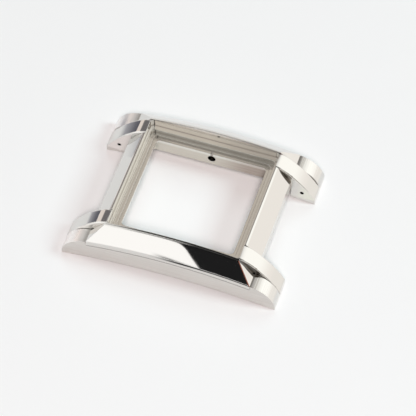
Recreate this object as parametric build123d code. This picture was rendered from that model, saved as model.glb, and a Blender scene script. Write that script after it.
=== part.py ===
from build123d import *
import math
import os

# Empty rectangular watch case: a centre frame, four lug arms, two flanks and two polished bevel bars.
# X runs from the 12 o'clock lugs to the 6 o'clock lugs, Y towards the crown side, Z up; Z = 0 is the lug tips.

# Driving sizes in the plan, in millimetres, from the opening outwards
opening_length = 30.0
cross_bar_width = 3.7
lug_reach = 5.65
strap_gap = 22.0
arm_thickness = 3.9
flank_thickness = 3.65
riser_inset = 0.1
bezel_land = 0.45
hip_land = 0.15
recess_corner = 0.9

# Driving heights, from the lug tips upwards
underside_crest = 2.0
frame_bottom = 3.3
movement_height = 3.6
gasket_ledge_height = 0.5
crystal_seat_height = 0.9
crystal_depth = 2.9
facet_rise = 3.2
bevel_edge_height = 1.25
bar_radius = 110.0

# Stepped seats inside the opening: how far each ledge stands in
crystal_ledge_x = 0.65
crystal_ledge_y = 1.1
gasket_ledge_x = 0.8
gasket_ledge_y = 0.75
dial_ledge_x = 0.75
dial_ledge_y = 0.85
dial_lip_thickness = 0.7
cavity_from_wall = 1.0
ledge_corner = 0.95

# Lugs: the arm is the inner layer, the flank's cap the outer one
arm_shoulder_radius = 6.0
arm_shoulder_angle = 35.5
arm_tip_height = 1.6
cap_step = 0.25
cap_start_angle = 6.0
cap_tip_height = 1.2
spring_bar_hole_diameter = 0.9
spring_bar_hole_depth = 2.0
spring_bar_from_tip = 3.0
spring_bar_level = 3.05

# Stem bore and the fine slot above it
stem_bore_diameter = 1.8
stem_above_back = 1.9
stem_slot_width = 0.55
stem_slot_from_wall = 0.35

# Fastenings
pin_diameter = 1.2
pin_end_room = 0.1
lug_pin_from_wall = 2.0
lug_pin_above_back = 1.1
lug_pin_in_frame = 1.4
lug_pin_in_flank = 1.7
flank_pin_along_share = 0.53
flank_pin_above_back = 1.6
flank_pin_in_frame = 1.5
flank_pin_in_flank = 1.7
bevel_screw_along_share = 0.8
bevel_screw_shank_diameter = 1.0
bevel_screw_head_diameter = 1.8
bevel_screw_head_height = 0.9
bevel_screw_head_room = 0.1
bevel_screw_head_above_crest = 0.7
bevel_screw_grip = 1.4
bevel_screw_slot_width = 0.28
bevel_screw_slot_depth = 0.3

# Case back seat on the underside
back_screw_from_edge = 2.3
back_screw_from_end = 3.5
back_screw_hole_diameter = 1.2
back_screw_hole_depth = 2.5
back_gasket_width = 0.7
back_gasket_depth = 0.4
back_gasket_from_cavity = 0.65

# Finishing
notch_width = 0.55
notch_depth = 1.0
edge_break = 0.1
arm_edge_radius = 0.3
bezel_edge_share = 1.33
cross_bar_edge_share = 1.65
facet_edge_radius = 0.25
back_clearance = 0.1
overrun = 1.0

# Places worked out from the sizes above: 48.7 over the lugs, 37.1 wide, 11.2 high
wall_x = opening_length / 2
cross_bar_x = wall_x + cross_bar_width
riser_x = cross_bar_x - riser_inset
tip_x = cross_bar_x + lug_reach
land_x = wall_x + bezel_land
hip_x = wall_x + hip_land
cavity_x = wall_x - cavity_from_wall
lip_x = wall_x - crystal_ledge_x - gasket_ledge_x - dial_ledge_x
arm_inner_y = strap_gap / 2
seam_y = arm_inner_y + arm_thickness
side_y = seam_y + flank_thickness
lip_y = seam_y - crystal_ledge_y - gasket_ledge_y - dial_ledge_y
facet_run = flank_thickness - bezel_land
bezel_edge_radius = bezel_land * bezel_edge_share
cross_bar_edge_radius = bezel_land * cross_bar_edge_share
dial_ledge_level = frame_bottom + movement_height
gasket_ledge_level = dial_ledge_level + gasket_ledge_height
crystal_seat_level = gasket_ledge_level + crystal_seat_height
top_crest = crystal_seat_level + crystal_depth
facet_crest = top_crest - facet_rise
seat_crest = facet_crest - bevel_edge_height
stem_level = frame_bottom + stem_above_back
spring_bar_x = tip_x - spring_bar_from_tip
lug_pin_x = wall_x + lug_pin_from_wall
lug_pin_level = frame_bottom + lug_pin_above_back
flank_pin_x = wall_x * flank_pin_along_share
flank_pin_level = frame_bottom + flank_pin_above_back
bevel_screw_x = wall_x * bevel_screw_along_share
bevel_screw_y = seam_y + flank_thickness / 2
bevel_screw_seat_level = underside_crest + bevel_screw_head_above_crest
underside_radius = (tip_x**2 + underside_crest**2) / (2 * underside_crest)


def drop(x, radius=bar_radius):
    """How far an arc of the given radius has fallen below its crest at x."""
    return radius - math.sqrt(radius**2 - x**2)


land_level = top_crest - drop(land_x)
hip_level = top_crest - drop(hip_x)
facet_foot = facet_crest - drop(riser_x)
seat_end = seat_crest - drop(riser_x)
bevel_screw_tip_level = seat_crest - drop(bevel_screw_x) + bevel_screw_grip


def arch(crest, end_x, end_level):
    """Arc in the side view from its crest at x = 0 to the given end."""
    return TangentArc((0, crest), (end_x, end_level), tangent=(1, 0))


def nose(start_x, start_level, start_angle, tip_level):
    """Rounded front of a lug in the side view: an arc that leaves its start at an angle below level."""
    angle = math.radians(start_angle)
    downhill = (math.cos(angle), -math.sin(angle))
    return TangentArc((start_x, start_level), (tip_x, tip_level), tangent=downhill)


def plate(profile, y_low, y_high):
    """Side-view profile made solid between two values of y."""
    return extrude(Plane.XZ.offset(-y_high) * profile, y_high - y_low)


def both_ends(half):
    """Right half of a side-view profile with its mirror image."""
    return half + mirror(half, Plane.YZ)


def rounded_block(half_x, half_y, low, high, corner):
    """Upright block with rounded corners, centred on the opening."""
    outline = RectangleRounded(2 * half_x, 2 * half_y, corner)
    return extrude(Plane.XY.offset(low) * outline, high - low)


def pin_along_y(diameter, x, z, y_from, y_to):
    """Round bar or hole parallel to Y."""
    return extrude(Plane.XZ.offset(-y_to) * Pos(x, z) * Circle(diameter / 2), y_to - y_from)


def crystal_block(low, high):
    """Block of the crystal's outline: the seat ring under the crystal, and the space that holds it."""
    return rounded_block(wall_x, seam_y, low, high, recess_corner)


def hip_notch(face_y, top_x, top_level, foot_x):
    """Slim wedge between a sloping end facet and the lug arm that stands against it on the +X +Y side."""
    side = 1 if face_y == seam_y else -1
    reach = (foot_x + overrun - top_x) / (foot_x - top_x)
    fall = (top_level - facet_foot) * reach
    base_x = foot_x + overrun
    junction = (base_x, face_y, top_level - fall + overrun)
    outer = (base_x, face_y + side * notch_width * reach, top_level - fall + overrun)
    foot = (base_x, face_y + side * notch_width * reach, top_level - fall)
    root = (base_x, face_y, top_level - fall - notch_depth * reach)
    base = make_face(Polyline(junction, outer, foot, root, close=True))
    return loft([base, Vertex(top_x, face_y, top_level)])


def four_ways(shape):
    """The shape and its mirror images at all four corners."""
    pair = [shape, mirror(shape, Plane.YZ)]
    return pair + [mirror(one, Plane.XZ) for one in pair]


def seam_edges(flank):
    """Edges of a flank along its visible joints: round the bevel bar outside, beside the lug arms inside."""
    upper = flank.edges().filter_by_position(Axis.Z, frame_bottom, top_crest)
    outside = upper.filter_by_position(Axis.Y, side_y - edge_break, side_y + edge_break)
    inside = upper.filter_by_position(Axis.Y, seam_y - edge_break, seam_y + edge_break)
    round_bar = [edge for edge in outside if abs(edge.center().X) < riser_x + edge_break]
    beside_arms = [edge for edge in inside if abs(edge.center().X) > riser_x + edge_break]
    return round_bar + beside_arms


def edges_at(solid, x=None, y=None, z=None):
    """Edges of a solid whose middle lies at the given coordinates; one left out may have any value."""
    found = solid.edges()
    for axis, value in ((Axis.X, x), (Axis.Y, y), (Axis.Z, z)):
        if value is not None:
            found = found.filter_by_position(axis, value - edge_break, value + edge_break)
    return found


# Centre frame: stepped seat ring, two cross bars with outward facets, movement cavity, case back seat
def make_centre_frame():
    ring = crystal_block(frame_bottom, crystal_seat_level)
    bar_profile = make_face(
        Polyline(
            (wall_x, frame_bottom),
            (cross_bar_x, frame_bottom),
            (cross_bar_x, facet_foot),
            (land_x, land_level),
            (wall_x, land_level),
            close=True,
        )
    )
    bar = plate(bar_profile, -arm_inner_y, arm_inner_y)
    bar = fillet(edges_at(bar, x=land_x, y=0, z=land_level), cross_bar_edge_radius)
    frame = ring + bar + mirror(bar, Plane.YZ)
    frame -= four_ways(hip_notch(arm_inner_y, land_x, land_level, cross_bar_x))

    gasket_x = wall_x - crystal_ledge_x
    gasket_y = seam_y - crystal_ledge_y
    dial_x = gasket_x - gasket_ledge_x
    dial_y = gasket_y - gasket_ledge_y
    frame -= rounded_block(gasket_x, gasket_y, gasket_ledge_level, top_crest, ledge_corner)
    frame -= rounded_block(dial_x, dial_y, dial_ledge_level, top_crest, ledge_corner)
    frame -= rounded_block(lip_x, lip_y, frame_bottom - overrun, top_crest, ledge_corner)
    cavity_top = dial_ledge_level - dial_lip_thickness
    frame -= rounded_block(cavity_x, lip_y, frame_bottom - overrun, cavity_top, ledge_corner)

    frame -= pin_along_y(stem_bore_diameter, 0, stem_level, 0, side_y)
    slot_y = lip_y + stem_slot_from_wall
    slot = Pos(0, slot_y, stem_level) * extrude(Circle(stem_slot_width / 2), top_crest - stem_level)
    frame -= slot

    groove_x = cavity_x + back_gasket_from_cavity
    groove_y = lip_y + back_gasket_from_cavity
    groove_top = frame_bottom + back_gasket_depth
    groove = rounded_block(
        groove_x + back_gasket_width, groove_y + back_gasket_width, frame_bottom, groove_top, ledge_corner
    )
    frame -= groove - rounded_block(groove_x, groove_y, frame_bottom, groove_top, ledge_corner)

    back_screw_hole = extrude(Circle(back_screw_hole_diameter / 2), back_screw_hole_depth)
    back_screw_x = cross_bar_x - back_screw_from_edge
    back_screw_y = arm_inner_y - back_screw_from_end
    frame -= four_ways(Pos(back_screw_x, back_screw_y, frame_bottom) * back_screw_hole)
    frame -= lug_pin_holes()
    frame -= flank_pin_holes()
    return frame


# Lug arm: inner layer of one lug, full height at the opening's corner, with the spring-bar hole
def make_lug_arm():
    root_x = wall_x - recess_corner
    foot_x = cross_bar_x + back_clearance
    foot_level = underside_crest - drop(foot_x, underside_radius)
    shoulder = math.radians(arm_shoulder_angle)
    shoulder_x = root_x + arm_shoulder_radius * math.sin(shoulder)
    shoulder_level = land_level - arm_shoulder_radius * (1 - math.cos(shoulder))
    outline = [
        Line((root_x, frame_bottom), (root_x, land_level)),
        TangentArc((root_x, land_level), (shoulder_x, shoulder_level), tangent=(1, 0)),
        nose(shoulder_x, shoulder_level, arm_shoulder_angle, arm_tip_height),
        Line((tip_x, arm_tip_height), (tip_x, 0)),
        Line((tip_x, 0), (foot_x, foot_level)),
        Line((foot_x, foot_level), (foot_x, frame_bottom)),
        Line((foot_x, frame_bottom), (root_x, frame_bottom)),
    ]
    arm = plate(make_face(outline), arm_inner_y, seam_y)
    long_edges = edges_at(arm, y=arm_inner_y) + edges_at(arm, y=seam_y)
    top_edges = [edge for edge in long_edges if edge.center().Z > arm_tip_height and edge.center().X > root_x]
    arm = fillet([edge for edge in top_edges if edge.geom_type == GeomType.CIRCLE], arm_edge_radius)
    arm -= crystal_block(frame_bottom - overrun, top_crest + overrun)
    hole_end = arm_inner_y + spring_bar_hole_depth
    arm -= pin_along_y(
        spring_bar_hole_diameter, spring_bar_x, spring_bar_level, arm_inner_y - overrun, hole_end
    )
    return arm - lug_pin_holes()


# Flank: outer layer of one side, from lug tip to lug tip, with the seat of the bevel bar
def make_flank():
    half = make_face(
        [
            arch(seat_crest, riser_x, seat_end),
            Line((riser_x, seat_end), (riser_x, facet_foot - cap_step)),
            nose(riser_x, facet_foot - cap_step, cap_start_angle, cap_tip_height),
            Line((tip_x, cap_tip_height), (tip_x, 0)),
            arch(underside_crest, tip_x, 0),
            Line((0, underside_crest), (0, seat_crest)),
        ]
    )
    flank = plate(both_ends(half), seam_y, side_y)
    flank = chamfer(seam_edges(flank), edge_break)
    flank -= lug_pin_holes()
    flank -= flank_pin_holes()
    flank -= bevel_screw_space()
    return flank


# Bevel bar: polished bar with a wide sloping facet, flush with the flank's caps at both ends
def make_bevel_bar():
    half = make_face(
        [
            arch(top_crest, hip_x, hip_level),
            Line((hip_x, hip_level), (riser_x, facet_foot)),
            Line((riser_x, facet_foot), (riser_x, seat_end)),
            arch(seat_crest, riser_x, seat_end),
            Line((0, seat_crest), (0, top_crest)),
        ]
    )
    bar = plate(both_ends(half), seam_y, side_y)
    below_facet = make_face(
        [
            arch(facet_crest, tip_x, facet_crest - drop(tip_x)),
            Line((tip_x, facet_crest - drop(tip_x)), (tip_x, 0)),
            Line((tip_x, 0), (0, 0)),
            Line((0, 0), (0, facet_crest)),
        ]
    )
    outer_plane = Plane.XZ.offset(-side_y)
    slope = Vector(0, -facet_run, facet_rise)
    below_facet = outer_plane * both_ends(below_facet)
    length = math.hypot(side_y - seam_y + overrun, (side_y - seam_y + overrun) * facet_rise / facet_run)
    bar &= extrude(below_facet, length, dir=slope.normalized())
    bar = fillet(edges_at(bar, x=0, y=side_y, z=facet_crest), facet_edge_radius)
    bar = fillet(edges_at(bar, x=0, y=seam_y + bezel_land, z=top_crest), bezel_edge_radius)
    notch = hip_notch(seam_y, hip_x, hip_level, riser_x)
    bar -= [notch, mirror(notch, Plane.YZ)]
    return bar - bevel_screw_space()


# Hidden pins that tie centre frame, lug arms and flanks together
def lug_pins(end_room=0):
    pin = pin_along_y(
        pin_diameter,
        lug_pin_x,
        lug_pin_level,
        arm_inner_y - lug_pin_in_frame - end_room,
        seam_y + lug_pin_in_flank + end_room,
    )
    return four_ways(pin)


def lug_pin_holes():
    return lug_pins(pin_end_room)


def flank_pins(end_room=0):
    pin = pin_along_y(
        pin_diameter,
        flank_pin_x,
        flank_pin_level,
        seam_y - flank_pin_in_frame - end_room,
        seam_y + flank_pin_in_flank + end_room,
    )
    return four_ways(pin)


def flank_pin_holes():
    return flank_pins(pin_end_room)


# Slotted screws that pull the bevel bars down from the underside of the flanks
def bevel_screw():
    shank_length = bevel_screw_tip_level - bevel_screw_seat_level
    shank = extrude(Circle(bevel_screw_shank_diameter / 2), shank_length)
    head = extrude(Circle(bevel_screw_head_diameter / 2), -bevel_screw_head_height)
    slot = Box(bevel_screw_head_diameter, bevel_screw_slot_width, 2 * bevel_screw_slot_depth)
    screw = shank + head - Pos(0, 0, -bevel_screw_head_height) * slot
    return Pos(bevel_screw_x, bevel_screw_y, bevel_screw_seat_level) * screw


def bevel_screw_space():
    bore = Circle(bevel_screw_head_diameter / 2 + bevel_screw_head_room)
    shank_length = bevel_screw_tip_level - bevel_screw_seat_level + bevel_screw_head_room
    space = extrude(Circle(bevel_screw_shank_diameter / 2), shank_length)
    space += extrude(bore, -bevel_screw_seat_level)
    return four_ways(Pos(bevel_screw_x, bevel_screw_y, bevel_screw_seat_level) * space)


def write(name, shape):
    export_step(shape, os.path.join("parts", name + ".step"))


os.makedirs("parts", exist_ok=True)

write("centre_frame", make_centre_frame())

arm_6_crown_side = make_lug_arm()
arm_12_crown_side = mirror(arm_6_crown_side, Plane.YZ)
write("lug_arm_6_crown_side", arm_6_crown_side)
write("lug_arm_12_crown_side", arm_12_crown_side)
write("lug_arm_6_plain_side", mirror(arm_6_crown_side, Plane.XZ))
write("lug_arm_12_plain_side", mirror(arm_12_crown_side, Plane.XZ))

plain_flank = make_flank()
stem_bore = pin_along_y(stem_bore_diameter, 0, stem_level, 0, side_y + overrun)
write("flank_plain_side", mirror(plain_flank, Plane.XZ))
write("flank_crown_side", plain_flank - stem_bore)

bevel_bar = make_bevel_bar()
write("bevel_bar_crown_side", bevel_bar)
write("bevel_bar_plain_side", mirror(bevel_bar, Plane.XZ))

write("lug_pins", Compound(children=lug_pins()))
write("flank_pins", Compound(children=flank_pins()))
write("bevel_screws", Compound(children=four_ways(bevel_screw())))
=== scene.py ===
import bpy
import math
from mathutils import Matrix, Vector

# Empty rectangular watch case of polished steel on a white table, with a white light tent round it.
# Everything is in metres, in the frame of the case: X from 12 to 6 o'clock, Y to the crown side, Z up.
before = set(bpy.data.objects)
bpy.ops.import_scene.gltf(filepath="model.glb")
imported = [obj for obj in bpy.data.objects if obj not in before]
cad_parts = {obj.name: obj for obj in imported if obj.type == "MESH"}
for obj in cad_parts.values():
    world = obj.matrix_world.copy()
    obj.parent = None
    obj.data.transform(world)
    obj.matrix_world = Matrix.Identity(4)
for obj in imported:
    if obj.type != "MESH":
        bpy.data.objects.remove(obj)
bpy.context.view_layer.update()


# Centre frame: one block of stainless steel, milled out for the dial, the crystal and the movement.
# The stepped seats keep the fine lines of the cutter, which follow the outline of the opening, and the
# sloping facets of the two cross bars are polished before the lugs are set against them.
steel_tone = (0.72, 0.705, 0.68, 1)
# Lighter tone of the turned edges, partly wear and partly a painted highlight.
worn_highlight_tone = (0.86, 0.855, 0.84, 1)
# Painted shade for inner corners.
painted_corner_shade_tone = (0.45, 0.415, 0.38, 1)
seat_tone = (0.76, 0.74, 0.685, 1)
# Painted reflection of the shaded table in the crown side's lower wall, darker toward 6 o'clock.
cavity_reflection_tone_left = (0.765, 0.715, 0.625, 1)
cavity_reflection_tone_right = (0.67, 0.6, 0.53, 1)
# Painted shade inside the stem bore and its slot.
bore_shade_tone = (0.36, 0.33, 0.3, 1)
opening_half_length = 0.015
opening_half_width = 0.0149
opening_edge = 0.000035
back_level = 0.003375
fine_fade = 0.000025
cavity_level, cavity_fade = 0.0061, 0.0001
cavity_from, cavity_to = -0.001, 0.011
crown_wall, crown_wall_fade = 0.01185, 0.00025
seat_roughness = 0.1
facet_roughness = 0.05
frame_edge = 0.00008
seat_line_spacing = 0.00022
seat_line_depth = 0.0000012
seat_line_share = 0.7
# Reach of the painted corner shade, on open faces and in the milled seats.
open_reach = 0.00005
seat_reach = 0.0005
stem_level = 0.0052
stem_radius = 0.00093
slot_half_width = 0.0003
slot_bottom, slot_bottom_fade = 0.00615, 0.00005
slot_top = 0.006825
hole_start = 0.012125
hole_fade = 0.00001
# Painted shade that dims the crown side's seats and the bars' inner walls toward 6 o'clock.
dim_from, dim_to, painted_dim_share = -0.003, 0.013, 0.86

# Levels above the lug tips, and the share of the seat's tone that the crown side keeps at each of them:
# painted light and shade for each level.
painted_level_shades = (
    (0.0000, 0.8), (0.0060, 0.8), (0.0063, 1.0), (0.0068, 1.0), (0.0069, 0.74),
    (0.0072, 0.7), (0.0080, 0.72), (0.0082, 0.95), (0.0086, 0.8), (0.0110, 1.1),
)
brightest_level = 1.2


def joined(tree, source, target):
    """Feeds a socket from another socket, or sets it to a number or colour."""
    if isinstance(source, bpy.types.NodeSocket):
        tree.links.new(source, target)
    else:
        target.default_value = source


def calculated(tree, operation, first, second=0, third=0):
    """Result of one arithmetic node; each value is a number or a socket."""
    node = tree.nodes.new("ShaderNodeMath")
    node.operation = operation
    for value, socket in zip((first, second, third), node.inputs):
        joined(tree, value, socket)
    return node.outputs[0]


def product(tree, first, *others):
    """All the values multiplied."""
    result = first
    for other in others:
        result = calculated(tree, "MULTIPLY", result, other)
    return result


def unsigned(tree, value):
    """The value without its sign."""
    return calculated(tree, "ABSOLUTE", value)


def distance(tree, first, second):
    """Length of the line to a point that lies this far off in two directions."""
    squares = calculated(tree, "MULTIPLY_ADD", first, first, product(tree, second, second))
    return calculated(tree, "SQRT", squares)


def ramp(tree, value, start, end, low=0, high=1):
    """Smooth change from low to high while the value goes from start to end."""
    node = tree.nodes.new("ShaderNodeMapRange")
    node.interpolation_type = "SMOOTHSTEP"
    sockets = {"Value": value, "From Min": start, "From Max": end, "To Min": low, "To Max": high}
    for socket_name, source in sockets.items():
        joined(tree, source, node.inputs[socket_name])
    return node.outputs[0]


def above(tree, value, edge, fade):
    """1 where the value is above the edge and 0 where it is below, with a soft step."""
    return ramp(tree, value, edge - fade, edge + fade)


def below(tree, value, edge, fade):
    """1 where the value is below the edge and 0 where it is above, with a soft step."""
    return ramp(tree, value, edge + fade, edge - fade)


def mixed(tree, share, first, second):
    """Colour between two others."""
    node = tree.nodes.new("ShaderNodeMix")
    node.data_type = "RGBA"
    joined(tree, share, node.inputs["Factor"])
    joined(tree, first, node.inputs["A"])
    joined(tree, second, node.inputs["B"])
    return node.outputs["Result"]


def noise(tree, place, scale, detail):
    """Smooth random value from 0 to 1."""
    node = tree.nodes.new("ShaderNodeTexNoise")
    node.inputs["Scale"].default_value = scale
    node.inputs["Detail"].default_value = detail
    joined(tree, place, node.inputs["Vector"])
    return node.outputs[0]


def vector_of(tree, *parts):
    """Vector made of three numbers or sockets."""
    node = tree.nodes.new("ShaderNodeCombineXYZ")
    for part, socket in zip(parts, node.inputs):
        joined(tree, part, socket)
    return node.outputs[0]


def parts_of(tree, vector):
    """The three parts of a vector."""
    node = tree.nodes.new("ShaderNodeSeparateXYZ")
    joined(tree, vector, node.inputs[0])
    return node.outputs["X"], node.outputs["Y"], node.outputs["Z"]


def new_group(name, inputs, outputs):
    """Shader node group with the given sockets, and the sockets of its two end nodes."""
    group = bpy.data.node_groups.new(name, "ShaderNodeTree")
    for side, sockets in (("INPUT", inputs), ("OUTPUT", outputs)):
        for socket_name, kind in sockets.items():
            group.interface.new_socket(socket_name, in_out=side, socket_type="NodeSocket" + kind)
    return group, group.nodes.new("NodeGroupInput").outputs, group.nodes.new("NodeGroupOutput").inputs


# Lines left by a tool: they follow one coordinate and are narrow in the other two.
line_stretch = 70
line_detail = 3

tool_lines, given, result = new_group(
    "tool_lines",
    {"Across": "Float", "Level": "Float", "Along": "Float", "Spacing": "Float"},
    {"Lines": "Float"},
)
long_spacing = product(tool_lines, given["Spacing"], line_stretch)
line_place = vector_of(
    tool_lines,
    calculated(tool_lines, "DIVIDE", given["Across"], given["Spacing"]),
    calculated(tool_lines, "DIVIDE", given["Level"], given["Spacing"]),
    calculated(tool_lines, "DIVIDE", given["Along"], long_spacing),
)
joined(tool_lines, noise(tool_lines, line_place, 1, line_detail), result["Lines"])

# Worked steel: buffed edges, lighter partly from wear and partly as a painted highlight, the marks of the
# tool, faint handling scratches, a slightly uneven sheen and painted shade in the inner corners.
edge_turn_from = 0.995
edge_turn_to = 0.93
edge_wear_and_highlight = 0.5
edge_wear_roughness = 0.05
corner_from = 0.4
corner_to = 0.95
scratch_stretch = (1, 0.08, 0.3)
scratch_scale, scratch_detail = 9000, 4
scratch_from = 0.62
scratch_to = 0.8
scratch_depth = 0.0000002
scratch_roughness = 0.03
cloud_scale, cloud_detail = 260, 3
cloud_low = 0.85
cloud_high = 1.2
middle_from = 0.3
middle_to = 0.7

worked_steel, given, result = new_group(
    "worked_steel",
    {
        "Place": "Vector", "Tone": "Color", "Roughness": "Float",
        "Height": "Float", "Edge": "Float", "Reach": "Float",
    },
    {"Tone": "Color", "Roughness": "Float", "Normal": "Vector"},
)
buffed = worked_steel.nodes.new("ShaderNodeBevel")
buffed.samples = 6
joined(worked_steel, given["Edge"], buffed.inputs["Radius"])
surface = worked_steel.nodes.new("ShaderNodeNewGeometry")
turn = worked_steel.nodes.new("ShaderNodeVectorMath")
turn.operation = "DOT_PRODUCT"
joined(worked_steel, buffed.outputs["Normal"], turn.inputs[0])
joined(worked_steel, surface.outputs["Normal"], turn.inputs[1])
# Turned edges take the lighter tone: partly wear, partly a painted highlight where they catch the light.
wear_and_highlight = ramp(worked_steel, turn.outputs["Value"], edge_turn_from, edge_turn_to)

# Painted shade: inner corners within the reach are darkened toward the corner shade tone.
corner = worked_steel.nodes.new("ShaderNodeAmbientOcclusion")
corner.samples = 8
joined(worked_steel, given["Reach"], corner.inputs["Distance"])
unshaded_share = ramp(worked_steel, corner.outputs["AO"], corner_from, corner_to)

scratch_parts = [
    product(worked_steel, part, stretch)
    for part, stretch in zip(parts_of(worked_steel, given["Place"]), scratch_stretch)
]
scratch_place = vector_of(worked_steel, *scratch_parts)
scratch_noise = noise(worked_steel, scratch_place, scratch_scale, scratch_detail)
scratches = ramp(worked_steel, scratch_noise, scratch_from, scratch_to)
relief = worked_steel.nodes.new("ShaderNodeBump")
relief.inputs["Distance"].default_value = 1
scratched = calculated(worked_steel, "MULTIPLY_ADD", scratches, -scratch_depth, given["Height"])
joined(worked_steel, scratched, relief.inputs["Height"])
joined(worked_steel, buffed.outputs["Normal"], relief.inputs["Normal"])
joined(worked_steel, relief.outputs["Normal"], result["Normal"])

cloud = noise(worked_steel, given["Place"], cloud_scale, cloud_detail)
cloudy = ramp(worked_steel, cloud, middle_from, middle_to, cloud_low, cloud_high)
uneven = product(worked_steel, given["Roughness"], cloudy)
marked = calculated(worked_steel, "MULTIPLY_ADD", scratches, scratch_roughness, uneven)
joined(
    worked_steel,
    calculated(worked_steel, "MULTIPLY_ADD", wear_and_highlight, edge_wear_roughness, marked),
    result["Roughness"],
)
edged = mixed(worked_steel, product(worked_steel, wear_and_highlight, edge_wear_and_highlight), given["Tone"], worn_highlight_tone)
joined(worked_steel, mixed(worked_steel, unshaded_share, painted_corner_shade_tone, edged), result["Tone"])


def new_steel(name):
    """Metal material, its node tree and its object coordinates in metres."""
    steel = bpy.data.materials.new(name)
    steel.use_nodes = True
    tree = steel.node_tree
    tree.nodes["Principled BSDF"].inputs["Metallic"].default_value = 1
    return steel, tree, tree.nodes.new("ShaderNodeTexCoord").outputs["Object"]


def lines_on(tree, across, level, along, spacing):
    """Value of the tool lines at a place."""
    node = tree.nodes.new("ShaderNodeGroup")
    node.node_tree = tool_lines
    values = {"Across": across, "Level": level, "Along": along, "Spacing": spacing}
    for socket_name, value in values.items():
        joined(tree, value, node.inputs[socket_name])
    return node.outputs["Lines"]


def finished(tree, place, tone, roughness, height, edge, reach=open_reach):
    """Leads the worked steel into the material's own Principled shader."""
    node = tree.nodes.new("ShaderNodeGroup")
    node.node_tree = worked_steel
    values = {
        "Place": place, "Tone": tone, "Roughness": roughness,
        "Height": height, "Edge": edge, "Reach": reach,
    }
    for socket_name, value in values.items():
        joined(tree, value, node.inputs[socket_name])
    shader = tree.nodes["Principled BSDF"]
    tree.links.new(node.outputs["Tone"], shader.inputs["Base Color"])
    tree.links.new(node.outputs["Roughness"], shader.inputs["Roughness"])
    tree.links.new(node.outputs["Normal"], shader.inputs["Normal"])


def dressed(names, steel):
    """Puts the material on the nodes of the frame that have these names."""
    for name in names:
        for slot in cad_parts[name].material_slots:
            slot.material = steel


frame_steel, tree, place = new_steel("milled_frame_steel")
x, y, z = parts_of(tree, place)
from_end = calculated(tree, "SUBTRACT", unsigned(tree, x), opening_half_length)
from_side = calculated(tree, "SUBTRACT", unsigned(tree, y), opening_half_width)
ring = calculated(tree, "MAXIMUM", from_end, from_side)
inside = below(tree, ring, opening_edge, fine_fade)
milled = calculated(tree, "MAXIMUM", inside, below(tree, z, back_level, fine_fade))
lines = lines_on(tree, ring, z, calculated(tree, "ADD", x, y), seat_line_spacing)

# The stem bore and the fine slot above it are darkened with painted shade.
from_stem = distance(tree, x, calculated(tree, "SUBTRACT", z, stem_level))
in_bore = below(tree, from_stem, stem_radius, hole_fade)
in_slot = product(
    tree,
    below(tree, unsigned(tree, x), slot_half_width, hole_fade),
    above(tree, z, slot_bottom, slot_bottom_fade),
    below(tree, z, slot_top, fine_fade),
)
in_hole_shade = product(
    tree, calculated(tree, "MAXIMUM", in_bore, in_slot), above(tree, y, hole_start, fine_fade)
)

# Painted light and shade: the crown side's seats differ in tone from level to level, and all of them grow
# dimmer to 6 o'clock.
level_node = tree.nodes.new("ShaderNodeValToRGB")
top_level = painted_level_shades[-1][0]
joined(tree, calculated(tree, "DIVIDE", z, top_level), level_node.inputs["Fac"])
for level, share in painted_level_shades[1:-1]:
    level_node.color_ramp.elements.new(level / top_level)
for stop, (level, share) in zip(level_node.color_ramp.elements, painted_level_shades):
    stop.position = level / top_level
    stop.color = [share / brightest_level] * 3 + [1]
level_shade_share = product(
    tree, level_node.outputs["Color"], brightest_level, ramp(tree, x, dim_from, dim_to, 1, painted_dim_share)
)
on_crown_side = above(tree, y, crown_wall, crown_wall_fade)
# Painted reflection: the crown side's wall below the seats mirrors the shaded table, darker toward 6
# o'clock.
cavity_reflection_tone = mixed(
    tree, ramp(tree, x, cavity_from, cavity_to), cavity_reflection_tone_left, cavity_reflection_tone_right
)
in_cavity = product(tree, on_crown_side, below(tree, z, cavity_level, cavity_fade))
level_shaded_tone = tree.nodes.new("ShaderNodeVectorMath")
level_shaded_tone.operation = "SCALE"
joined(tree, mixed(tree, in_cavity, seat_tone, cavity_reflection_tone), level_shaded_tone.inputs[0])
joined(tree, ramp(tree, on_crown_side, 0, 1, 1, level_shade_share), level_shaded_tone.inputs["Scale"])
line_share = product(tree, milled, ramp(tree, lines, middle_from, middle_to, 1, seat_line_share))
milled_tone = mixed(tree, line_share, steel_tone, level_shaded_tone.outputs[0])
finished(
    tree,
    place,
    mixed(tree, in_hole_shade, milled_tone, bore_shade_tone),
    ramp(tree, milled, 0, 1, facet_roughness, seat_roughness),
    product(tree, lines, seat_line_depth, milled),
    frame_edge,
    ramp(tree, milled, 0, 1, open_reach, seat_reach),
)
dressed(["centre_frame"], frame_steel)


# Lug arms: four solid arms of the same steel, the inner layer of each lug, pinned between the centre frame
# and a flank. Their arched tops and inner faces are polished and their long edges are buffed round, more
# at the 12 o'clock end; at the 6 o'clock end painted shade darkens the narrow notches beside them.
arm_roughness = 0.05
arm_edge_12 = 0.00022
arm_edge_6 = 0.00007
# Reach of the painted shade in the 6 o'clock notches.
arm_notch_shade_reach_6 = 0.0005
arm_line_spacing = 0.00035
arm_line_depth = 0.0000004
arm_line_level = 0.02
end_change = 0.01
arm_names = [
    "lug_arm_" + hour + "_" + side for hour in ("6", "12") for side in ("crown_side", "plain_side")
]


def by_end(tree, x, at_12, at_6):
    """One value at the 12 o'clock lugs and another at the 6 o'clock lugs."""
    return ramp(tree, x, -end_change, end_change, at_12, at_6)


arm_steel, tree, place = new_steel("polished_arm_steel")
x, y, z = parts_of(tree, place)
lines = lines_on(tree, y, product(tree, z, arm_line_level), x, arm_line_spacing)
finished(
    tree,
    place,
    steel_tone,
    arm_roughness,
    product(tree, lines, arm_line_depth),
    by_end(tree, x, arm_edge_12, arm_edge_6),
    by_end(tree, x, open_reach, arm_notch_shade_reach_6),
)
dressed(arm_names, arm_steel)


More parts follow.
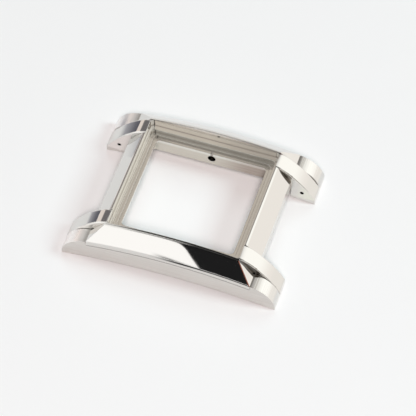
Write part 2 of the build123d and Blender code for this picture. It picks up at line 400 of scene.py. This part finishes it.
# Flanks: the long side walls, each with the two outer lug caps, cut from one bar of steel. The walls are
# ground along their length to a satin surface and the caps drawn across with a softer wheel. The caps at
# 12 o'clock are painted lighter and warmer as a painted reflection, every cap gets painted shade at its
# root, and dark hairlines show where they meet the arms and where a wall carries its bar.
wall_roughness = 0.34
cap_roughness_6 = 0.13
cap_roughness_12 = 0.3
flank_edge = 0.00008
flank_line_spacing = 0.00012
flank_line_depth = 0.0000025
flank_line_side = 0.05
flank_line_wear = 0.3
wall_tone = (0.66, 0.63, 0.6, 1)
# Painted reflection: the 12 o'clock caps are lighter and warmer.
cap_reflection_tone_12 = (0.93, 0.885, 0.865, 1)
cap_tone_place = -0.02
cap_tone_fade = 0.0015
# Painted shade at the roots of the caps.
root_shade_tone = (0.13, 0.11, 0.09, 1)
root_12_from, root_12_to, root_12_share = -0.0187, -0.0198, 0.4
root_6_from, root_6_to, root_6_share = 0.0194, 0.0212, 0.62
joint_tone = (0.11, 0.1, 0.1, 1)
joint_place = 0.0149
joint_width = 0.000128
joint_fade = 0.000032
joint_share_far = 0.4
side_change = 0.001
wall_turn, wall_turn_fade = 0.65, 0.15
cap_turn, cap_turn_fade = 0.3, 0.1
arch_curve = 4.545
seat_level = 0.00675
seat_line_width = 0.00025
seat_line_fade = 0.00005
seat_line_darkness = 0.7
seat_half_length, seat_end_fade = 0.0185, 0.0001


def under_arch(tree, x, z, level):
    """How far the place lies below an arch that has this level in the middle of the case."""
    arch = calculated(tree, "MULTIPLY_ADD", product(tree, x, x), -arch_curve, level)
    return calculated(tree, "SUBTRACT", arch, z)


def facing_of(tree):
    """The three parts of the direction that the surface faces."""
    return parts_of(tree, tree.nodes.new("ShaderNodeNewGeometry").outputs["Normal"])


flank_steel, tree, place = new_steel("satin_flank_steel")
x, y, z = parts_of(tree, place)
facing_y, facing_z = facing_of(tree)[1:]
on_wall = above(tree, unsigned(tree, facing_y), wall_turn, wall_turn_fade)
wall_lines = lines_on(tree, z, product(tree, y, flank_line_side), x, flank_line_spacing)
cap_lines = lines_on(tree, x, product(tree, z, flank_line_side), y, flank_line_spacing)
lines = ramp(tree, on_wall, 0, 1, cap_lines, wall_lines)

from_joint = calculated(tree, "SUBTRACT", unsigned(tree, y), joint_place)
in_cap_joint = product(
    tree,
    below(tree, from_joint, joint_width, joint_fade),
    above(tree, facing_z, cap_turn, cap_turn_fade),
    ramp(tree, y, -side_change, side_change, 1, joint_share_far),
)
in_seat_joint = product(
    tree,
    below(tree, under_arch(tree, x, z, seat_level), seat_line_width, seat_line_fade),
    seat_line_darkness,
    below(tree, unsigned(tree, x), seat_half_length, seat_end_fade),
    on_wall,
)
in_joint = calculated(tree, "MAXIMUM", in_cap_joint, in_seat_joint)

# The 12 o'clock caps take a lighter, warmer painted reflection, and the roots of all caps painted shade.
cap_painted_tone = mixed(tree, below(tree, x, cap_tone_place, cap_tone_fade), steel_tone, cap_reflection_tone_12)
root_shade_12 = ramp(tree, x, root_12_from, root_12_to, root_12_share, 0)
root_shade_6 = ramp(tree, x, root_6_from, root_6_to, root_6_share, 0)
cap_painted_tone = mixed(tree, by_end(tree, x, root_shade_12, root_shade_6), cap_painted_tone, root_shade_tone)
drawn_tone = mixed(
    tree,
    ramp(tree, lines, middle_from, middle_to, 0, flank_line_wear),
    mixed(tree, on_wall, cap_painted_tone, wall_tone),
    worn_highlight_tone,
)
finished(
    tree,
    place,
    mixed(tree, in_joint, drawn_tone, joint_tone),
    ramp(tree, on_wall, 0, 1, by_end(tree, x, cap_roughness_12, cap_roughness_6), wall_roughness),
    product(tree, lines, flank_line_depth),
    flank_edge,
)
dressed(["flank_crown_side", "flank_plain_side"], flank_steel)


# Bevel bars: the two mirror-polished bars with the wide sloping facet, screwed down on the flanks from
# below. A hard wheel leaves the facet a hair higher along its middle than at its long edges. Toward 6
# o'clock the plain side's bar carries a painted reflection of a dark room above and below its facet, and a
# painted red-brown reflection along its hip.
bar_roughness = 0.03
bar_edge = 0.00014
crisp_edge = 0.00001
facet_middle = 0.01695
facet_crown = 11.5
land_edge = 0.0155
land_fall = 0.21
inner_wall = 0.01496
inner_wall_fade = 0.00002
rim_level = 0.0112
rim_width = 0.00035
rim_fade = 0.00007
rim_tone = (0.5, 0.47, 0.44, 1)
inner_tone = (0.82, 0.765, 0.71, 1)
# Painted shade on the inner walls toward 6 o'clock.
dim_shade_tone = (0.1, 0.1, 0.1, 1)
dim_shade_darkness = 0.2
# Painted reflection of a dark room in the plain side's bar.
dark_reflection_tone = (0.02, 0.02, 0.02, 1)
land_outer, land_inner, land_fade = -0.015575, -0.014975, 0.000075
land_dark_from, land_dark_to, land_darkness = 0.001, 0.006, 0.85
lip_place, lip_place_fade = -0.0182, 0.0001
lip_start, lip_start_fade = -0.001, 0.004
lip_level_from, lip_level_to, lip_level_fade = 0.00068, 0.0009, 0.00008
lip_from, lip_to = 0.001, 0.014
lip_turn, lip_turn_fade = -0.9, 0.05
end_plane_x, end_plane_z, end_plane_place = 0.73, 0.68, 0.01797
# Painted red-brown reflection along the hip.
hip_reflection_tone = (0.36, 0.1, 0.05, 1)
hip_roughness = 0.5
hip_width, hip_fade = 0.00019, 0.00003
facet_turn, facet_turn_fade = -0.5, 0.1

mirror_steel, tree, place = new_steel("mirror_bar_steel")
x, y, z = parts_of(tree, place)
facing_y = facing_of(tree)[1]
from_middle = calculated(tree, "SUBTRACT", unsigned(tree, y), facet_middle)
crown = product(tree, from_middle, from_middle, -facet_crown)
up_to_land = calculated(tree, "MINIMUM", unsigned(tree, y), land_edge)
on_land = calculated(tree, "SUBTRACT", land_edge, up_to_land)
relief_height = calculated(tree, "MULTIPLY_ADD", on_land, land_fall, crown)

# The inner wall continues the milled seats and has a darker rim; painted shade dims it toward 6 o'clock.
on_inner_wall = below(tree, unsigned(tree, y), inner_wall, inner_wall_fade)
off_rim = above(tree, under_arch(tree, x, z, rim_level), rim_width, rim_fade)
wall_mix = mixed(tree, off_rim, rim_tone, inner_tone)
wall_mix = mixed(tree, ramp(tree, x, dim_from, dim_to, 0, dim_shade_darkness), wall_mix, dim_shade_tone)
bar_tone = mixed(tree, on_inner_wall, steel_tone, wall_mix)
bar_sheen = ramp(tree, on_inner_wall, 0, 1, bar_roughness, seat_roughness)

# Painted reflection: the dark room that shows in the plain side's bar, above and below its facet.
painted_dark_land = product(
    tree,
    above(tree, y, land_outer, land_fade),
    below(tree, y, land_inner, land_fade),
    ramp(tree, x, land_dark_from, land_dark_to, 0, land_darkness),
)
above_seat = product(tree, under_arch(tree, x, z, seat_level), -1)
lip_level = ramp(tree, x, lip_from, lip_to, lip_level_from, lip_level_to)
lip_top = calculated(tree, "ADD", lip_level, lip_level_fade)
at_lip = product(
    tree,
    below(tree, y, lip_place, lip_place_fade),
    above(tree, x, lip_start, lip_start_fade),
)
painted_dark_lip = product(
    tree,
    ramp(tree, above_seat, lip_level, lip_top),
    below(tree, facing_y, lip_turn, lip_turn_fade),
    at_lip,
)
bar_tone = mixed(tree, calculated(tree, "MAXIMUM", painted_dark_land, painted_dark_lip), bar_tone, dark_reflection_tone)

# Painted reflection: the red-brown line along the hip, between the facet and the sloping end triangle.
toward_end = calculated(tree, "MULTIPLY_ADD", z, end_plane_z, product(tree, x, end_plane_x))
from_hip = calculated(tree, "SUBTRACT", end_plane_place, toward_end)
on_hip_reflection = product(
    tree,
    below(tree, from_hip, hip_width, hip_fade),
    below(tree, facing_y, facet_turn, facet_turn_fade),
)
finished(
    tree,
    place,
    mixed(tree, on_hip_reflection, bar_tone, hip_reflection_tone),
    ramp(tree, on_hip_reflection, 0, 1, bar_sheen, hip_roughness),
    relief_height,
    ramp(tree, at_lip, 0, 1, bar_edge, crisp_edge),
)
dressed(["bevel_bar_crown_side", "bevel_bar_plain_side"], mirror_steel)


# Lug pins and flank pins: eight plain pins turned from steel rod, pressed across the joints between the
# frame, the arms and the flanks. They stay hidden once the case is together.
pin_tone = (0.6, 0.59, 0.57, 1)
pin_roughness = 0.22
pin_edge = 0.00005
pin_line_spacing = 0.00012
pin_line_depth = 0.000002

pin_steel, tree, place = new_steel("turned_pin_steel")
x, y, z = parts_of(tree, place)
lines = lines_on(tree, y, 0, calculated(tree, "ADD", x, z), pin_line_spacing)
finished(tree, place, pin_tone, pin_roughness, product(tree, lines, pin_line_depth), pin_edge)
dressed(["lug_pins", "flank_pins"], pin_steel)


# Bevel screws: four slotted screws that hold the bevel bars down from the underside. Their heads are
# faced on a lathe, which leaves rings round the slot.
screw_x = 0.012
screw_y = 0.016725
screw_roughness = 0.18

screw_steel, tree, place = new_steel("faced_screw_steel")
x, y, z = parts_of(tree, place)
off_x = calculated(tree, "SUBTRACT", unsigned(tree, x), screw_x)
off_y = calculated(tree, "SUBTRACT", unsigned(tree, y), screw_y)
lines = lines_on(tree, distance(tree, off_x, off_y), z, 0, pin_line_spacing)
finished(tree, place, pin_tone, screw_roughness, product(tree, lines, pin_line_depth), pin_edge)
dressed(["bevel_screws"], screw_steel)


# Table: a wide sheet of white card with a faint grain, on which the case lies.
table_tone = (0.9, 0.905, 0.9, 1)
table_roughness = 0.9
table_gloss = 0.1
table_size = 8
grain_scale, grain_detail = 2500, 3
grain_depth = 0.00001

bpy.ops.mesh.primitive_plane_add(size=table_size)
table = bpy.context.object
table.name = "table"
card = bpy.data.materials.new("white_table_card")
card.use_nodes = True
tree = card.node_tree
shader = tree.nodes["Principled BSDF"]
shader.inputs["Base Color"].default_value = table_tone
shader.inputs["Roughness"].default_value = table_roughness
shader.inputs["Specular IOR Level"].default_value = table_gloss
place = tree.nodes.new("ShaderNodeTexCoord").outputs["Object"]
grain = tree.nodes.new("ShaderNodeBump")
grain.inputs["Distance"].default_value = grain_depth
joined(tree, noise(tree, place, grain_scale, grain_detail), grain.inputs["Height"])
joined(tree, grain.outputs["Normal"], shader.inputs["Normal"])
table.data.materials.append(card)


# Light tent: a white dome that only shows as reflections in the steel, with the dark gaps and the brighter
# cards that polished steel mirrors. Each window has its azimuths from +X and its elevations in degrees, how
# soft its edges are sideways and upward, its tone, and how far it leans for each degree above an elevation.
tent_radius = 3
tent_tone = (0.95, 0.94, 0.92, 1)
upright = (0, 0)
front_lean = (0.9, 33.3)
flag_lean = (0.63, 30)
tent_windows = {
    "grey_far_side": ((78, 133), (38, 80), (10, 14), (0.4, 0.385, 0.36), upright),
    "right_wall": ((-40, 71), (-20, 52), (11, 6), (1.13, 1.09, 1.04), upright),
    "right_lamp_card": ((0, 72), (10, 56), (8, 18), (1.35, 1.35, 1.3), upright),
    "far_gap": ((78, 100), (46, 70), (9, 10), (0.2, 0.19, 0.18), upright),
    "open_top": ((-1, 361), (64, 95), (1, 8), (0.05, 0.048, 0.046), upright),
    "brown_corner": ((285, 338), (8, 38), (8, 6), (0.3, 0.25, 0.2), upright),
    "table_edge": ((304, 342), (-8, 10), (8, 4), (0.12, 0.1, 0.08), upright),
    "front_opening": ((252, 305), (36, 50), (6, 3), (0.02, 0.02, 0.022), upright),
    "front_opening_top": ((277, 300), (49, 66), (6, 4), (0.06, 0.045, 0.03), upright),
    "warm_far_card": ((96, 120), (49, 60), (8, 4), (0.62, 0.57, 0.52), upright),
    "front_opening_low": ((244, 290), (29, 46), (4, 2), (0.017, 0.017, 0.018), upright),
    "front_card": ((156, 261.6), (3, 35.6), (3.2, 3), (1.34, 1.335, 1.33), front_lean),
    "card_notch": ((256, 266), (28.2, 30.1), (5, 0.8), (0.02, 0.02, 0.02), upright),
    "left_seam": ((127, 151), (8, 24.5), (5, 2.5), (0.96, 0.87, 0.81), upright),
    "left_flag": ((134, 146), (23.6, 43), (4, 4), (0.2, 0.19, 0.195), flag_lean),
}

# Windows with a crisp border, and how much of the mask stays soft on each side of its middle.
crisp_windows = {"front_card": 0.12}
middle_of_mask = 0.5

window_mask, given, result = new_group(
    "window_mask",
    {
        "Azimuth": "Float", "Elevation": "Float", "From": "Float", "To": "Float",
        "Side Softness": "Float", "Low": "Float", "High": "Float", "Softness": "Float",
    },
    {"Mask": "Float"},
)


def border(value, edge, softness, sign):
    """Soft step at an edge: 1 on the side that the sign points to."""
    half = product(window_mask, softness, 0.5 * sign)
    start = calculated(window_mask, "SUBTRACT", edge, half)
    end = calculated(window_mask, "ADD", edge, half)
    return ramp(window_mask, value, start, end)


mask = product(
    window_mask,
    border(given["Azimuth"], given["From"], given["Side Softness"], 1),
    border(given["Azimuth"], given["To"], given["Side Softness"], -1),
    border(given["Elevation"], given["Low"], given["Softness"], 1),
    border(given["Elevation"], given["High"], given["Softness"], -1),
)
joined(window_mask, mask, result["Mask"])

tent_light = bpy.data.materials.new("tent_light")
tent_light.use_nodes = True
tree = tent_light.node_tree
tree.nodes.clear()
direction = tree.nodes.new("ShaderNodeVectorMath")
direction.operation = "NORMALIZE"
joined(tree, tree.nodes.new("ShaderNodeTexCoord").outputs["Object"], direction.inputs[0])
x, y, z = parts_of(tree, direction.outputs[0])
turned = calculated(tree, "DEGREES", calculated(tree, "ARCTAN2", y, x))
azimuth = calculated(tree, "WRAP", turned, 360, 0)
elevation = calculated(tree, "DEGREES", calculated(tree, "ARCSINE", z))

picture = tent_tone
for name, (across, upward, softness, tone, (lean, lean_from)) in tent_windows.items():
    window = tree.nodes.new("ShaderNodeGroup")
    window.node_tree = window_mask
    leaning = product(tree, calculated(tree, "SUBTRACT", elevation, lean_from), lean)
    values = {
        "Azimuth": calculated(tree, "ADD", azimuth, leaning), "Elevation": elevation,
        "From": across[0], "To": across[1], "Side Softness": softness[0],
        "Low": upward[0], "High": upward[1], "Softness": softness[1],
    }
    for socket_name, value in values.items():
        joined(tree, value, window.inputs[socket_name])
    mask = window.outputs["Mask"]
    if name in crisp_windows:
        mask = above(tree, mask, middle_of_mask, crisp_windows[name])
    picture = mixed(tree, mask, picture, (*tone, 1))

glow = tree.nodes.new("ShaderNodeEmission")
joined(tree, picture, glow.inputs["Color"])
tent_end = tree.nodes.new("ShaderNodeOutputMaterial")
tree.links.new(glow.outputs[0], tent_end.inputs["Surface"])
tent_light.cycles.emission_sampling = "NONE"


def reflection_only(thing):
    """Keeps a card out of everything but mirror images."""
    thing.visible_camera = False
    thing.visible_diffuse = False
    thing.visible_shadow = False


bpy.ops.mesh.primitive_uv_sphere_add(segments=96, ring_count=48, radius=tent_radius)
tent = bpy.context.object
tent.name = "light_tent"
tent.data.materials.append(tent_light)
reflection_only(tent)


# Low cards: thin sheets near the table that the lugs and the other low faces mirror below the horizon. Two
# grey-blue strips rise at the left, a white sheet lies at the front left, a wide warm one and a small dark
# one at the right, and one in each gap between the lugs.
tone_from, tone_to = -0.25, 0.65
strip_near_tone = (0.66, 0.66, 0.7)
strip_far_tone = (0.13, 0.132, 0.16)
front_tone = (1.15, 1.12, 1.1)
dark_sheet_tone = (0.1, 0.085, 0.07)
right_near_tone = (1.08, 1.05, 1.0)
right_far_tone = (1.1, 1.07, 1.02)
gap_tone_6 = (1.02, 1.03, 0.95)
gap_tone_12 = (0.93, 0.86, 0.85)
gap_place = ((0.0189, 0.0004), (0.025, 0.0006), (-0.0105, 0.0105))

# Azimuth in degrees, distance and level of the near and of the far side, the two ends, the height over
# which the card fades in, and its near and far tones, which change between two shares of its rise.
low_cards = {
    "left_strip_near": (
        145, (0.0445, 0.0005), (0.075, 0.0172), (0.0175, 0.0255), 0.003, strip_near_tone, strip_far_tone
    ),
    "left_strip_far": (
        145, (0.037, 0.0005), (0.07, 0.0172), (-0.003, 0.0055), 0.003, strip_near_tone, strip_far_tone
    ),
    "front_left_sheet": (
        220, (0.034, 0.0005), (0.1, 0.003), (-0.03, 0.02), 0.0003, front_tone, front_tone
    ),
    "right_dark_sheet": (
        -14, (0.043, 0.0012), (0.058, 0.0014), (-0.005, 0.005), 0.0001, dark_sheet_tone, dark_sheet_tone
    ),
    "right_sheet": (
        0, (0.0262, 0.0003), (0.6, 0.012), (-0.2, 0.4), 0.0001, right_near_tone, right_far_tone
    ),
    "gap_sheet_6": (0, *gap_place, 0.0001, gap_tone_6, gap_tone_6),
    "gap_sheet_12": (180, *gap_place, 0.0001, gap_tone_12, gap_tone_12),
}


def low_card(name, azimuth, near, far, sides, fade, near_tone, far_tone):
    """Sheet that rises outward from the near side to the far one, with its own light."""
    angle = math.radians(azimuth)
    outward = Vector((math.cos(angle), math.sin(angle), 0))
    along = Vector((-math.sin(angle), math.cos(angle), 0))
    corners = []
    for place, level in (near, far):
        for side in sides:
            corners.append(outward * place + along * side + Vector((0, 0, level)))
    mesh = bpy.data.meshes.new(name)
    mesh.from_pydata([corners[0], corners[1], corners[3], corners[2]], [], [(0, 1, 2, 3)])
    material = bpy.data.materials.new(name)
    material.use_nodes = True
    tree = material.node_tree
    tree.nodes.clear()
    height = parts_of(tree, tree.nodes.new("ShaderNodeTexCoord").outputs["Object"])[2]
    rise = far[1] - near[1]
    share = ramp(tree, height, near[1] + tone_from * rise, near[1] + tone_to * rise)
    glow = tree.nodes.new("ShaderNodeEmission")
    joined(tree, mixed(tree, share, (*near_tone, 1), (*far_tone, 1)), glow.inputs["Color"])
    clear = tree.nodes.new("ShaderNodeBsdfTransparent")
    mix = tree.nodes.new("ShaderNodeMixShader")
    joined(tree, ramp(tree, height, near[1], near[1] + fade), mix.inputs["Fac"])
    tree.links.new(clear.outputs[0], mix.inputs[1])
    tree.links.new(glow.outputs[0], mix.inputs[2])
    end = tree.nodes.new("ShaderNodeOutputMaterial")
    tree.links.new(mix.outputs[0], end.inputs["Surface"])
    material.cycles.emission_sampling = "NONE"
    mesh.materials.append(material)
    sheet = bpy.data.objects.new(name, mesh)
    bpy.context.scene.collection.objects.link(sheet)
    reflection_only(sheet)


for name, values in low_cards.items():
    low_card(name, *values)


# Lamps: a broad soft one behind the camera, a cooler one high at the right, which throws the soft shadow
# inside the opening, and a weak one behind the case. The plain world fills them in, and the camera sees it
# as a pale backdrop. Each lamp has its place, its width, its power and its colour.
lamps = {
    "front_lamp": ((0.451, -1.357, 1.989), 0.7, 45.2, (1, 0.89, 0.885)),
    "side_lamp": ((1.7, 0.25, 1.55), 0.7, 20.8, (0.76, 0.97, 1)),
    "back_lamp": ((-0.25, 1.4, 1.8), 1.1, 8.6, (0.75, 0.96, 1)),
}
fill_tone = (1, 0.9, 0.86, 1)
fill_strength = 0.115
backdrop_tone = (0.9, 0.91, 0.91, 1)

for name, (location, size, energy, tone) in lamps.items():
    lamp = bpy.data.objects.new(name, bpy.data.lights.new(name, "AREA"))
    lamp.data.size = size
    lamp.data.energy = energy
    lamp.data.color = tone
    lamp.location = location
    lamp.rotation_euler = lamp.location.to_track_quat("Z", "Y").to_euler()
    lamp.visible_glossy = False
    bpy.context.scene.collection.objects.link(lamp)

world = bpy.data.worlds.new("studio")
world.use_nodes = True
tree = world.node_tree
fill = tree.nodes["Background"]
fill.inputs["Color"].default_value = fill_tone
fill.inputs["Strength"].default_value = fill_strength
backdrop = tree.nodes.new("ShaderNodeBackground")
backdrop.inputs["Color"].default_value = backdrop_tone
seen = tree.nodes.new("ShaderNodeMixShader")
joined(tree, tree.nodes.new("ShaderNodeLightPath").outputs["Is Camera Ray"], seen.inputs["Fac"])
tree.links.new(fill.outputs[0], seen.inputs[1])
tree.links.new(backdrop.outputs[0], seen.inputs[2])
tree.links.new(seen.outputs[0], tree.nodes["World Output"].inputs["Surface"])
bpy.context.scene.world = world


# Camera: above the near long side and a little to the right, with a long lens.
camera_azimuth = math.radians(18.366)
camera_elevation = math.radians(54.289)
camera_distance = 0.5794
camera_lens = 227.1
camera_sensor = 36
camera_shift = (0.0329, 0.0164)
camera_clip = 0.01

camera = bpy.data.objects.new("camera", bpy.data.cameras.new("camera"))
camera_direction = Vector(
    (
        math.sin(camera_azimuth) * math.cos(camera_elevation),
        -math.cos(camera_azimuth) * math.cos(camera_elevation),
        math.sin(camera_elevation),
    )
)
camera.location = camera_distance * camera_direction
camera.rotation_euler = camera.location.to_track_quat("Z", "Y").to_euler()
camera.data.sensor_width = camera_sensor
camera.data.lens = camera_lens
camera.data.shift_x, camera.data.shift_y = camera_shift
camera.data.clip_start = camera_clip
bpy.context.scene.collection.objects.link(camera)
bpy.context.scene.camera = camera
bpy.context.scene.view_settings.view_transform = "Standard"
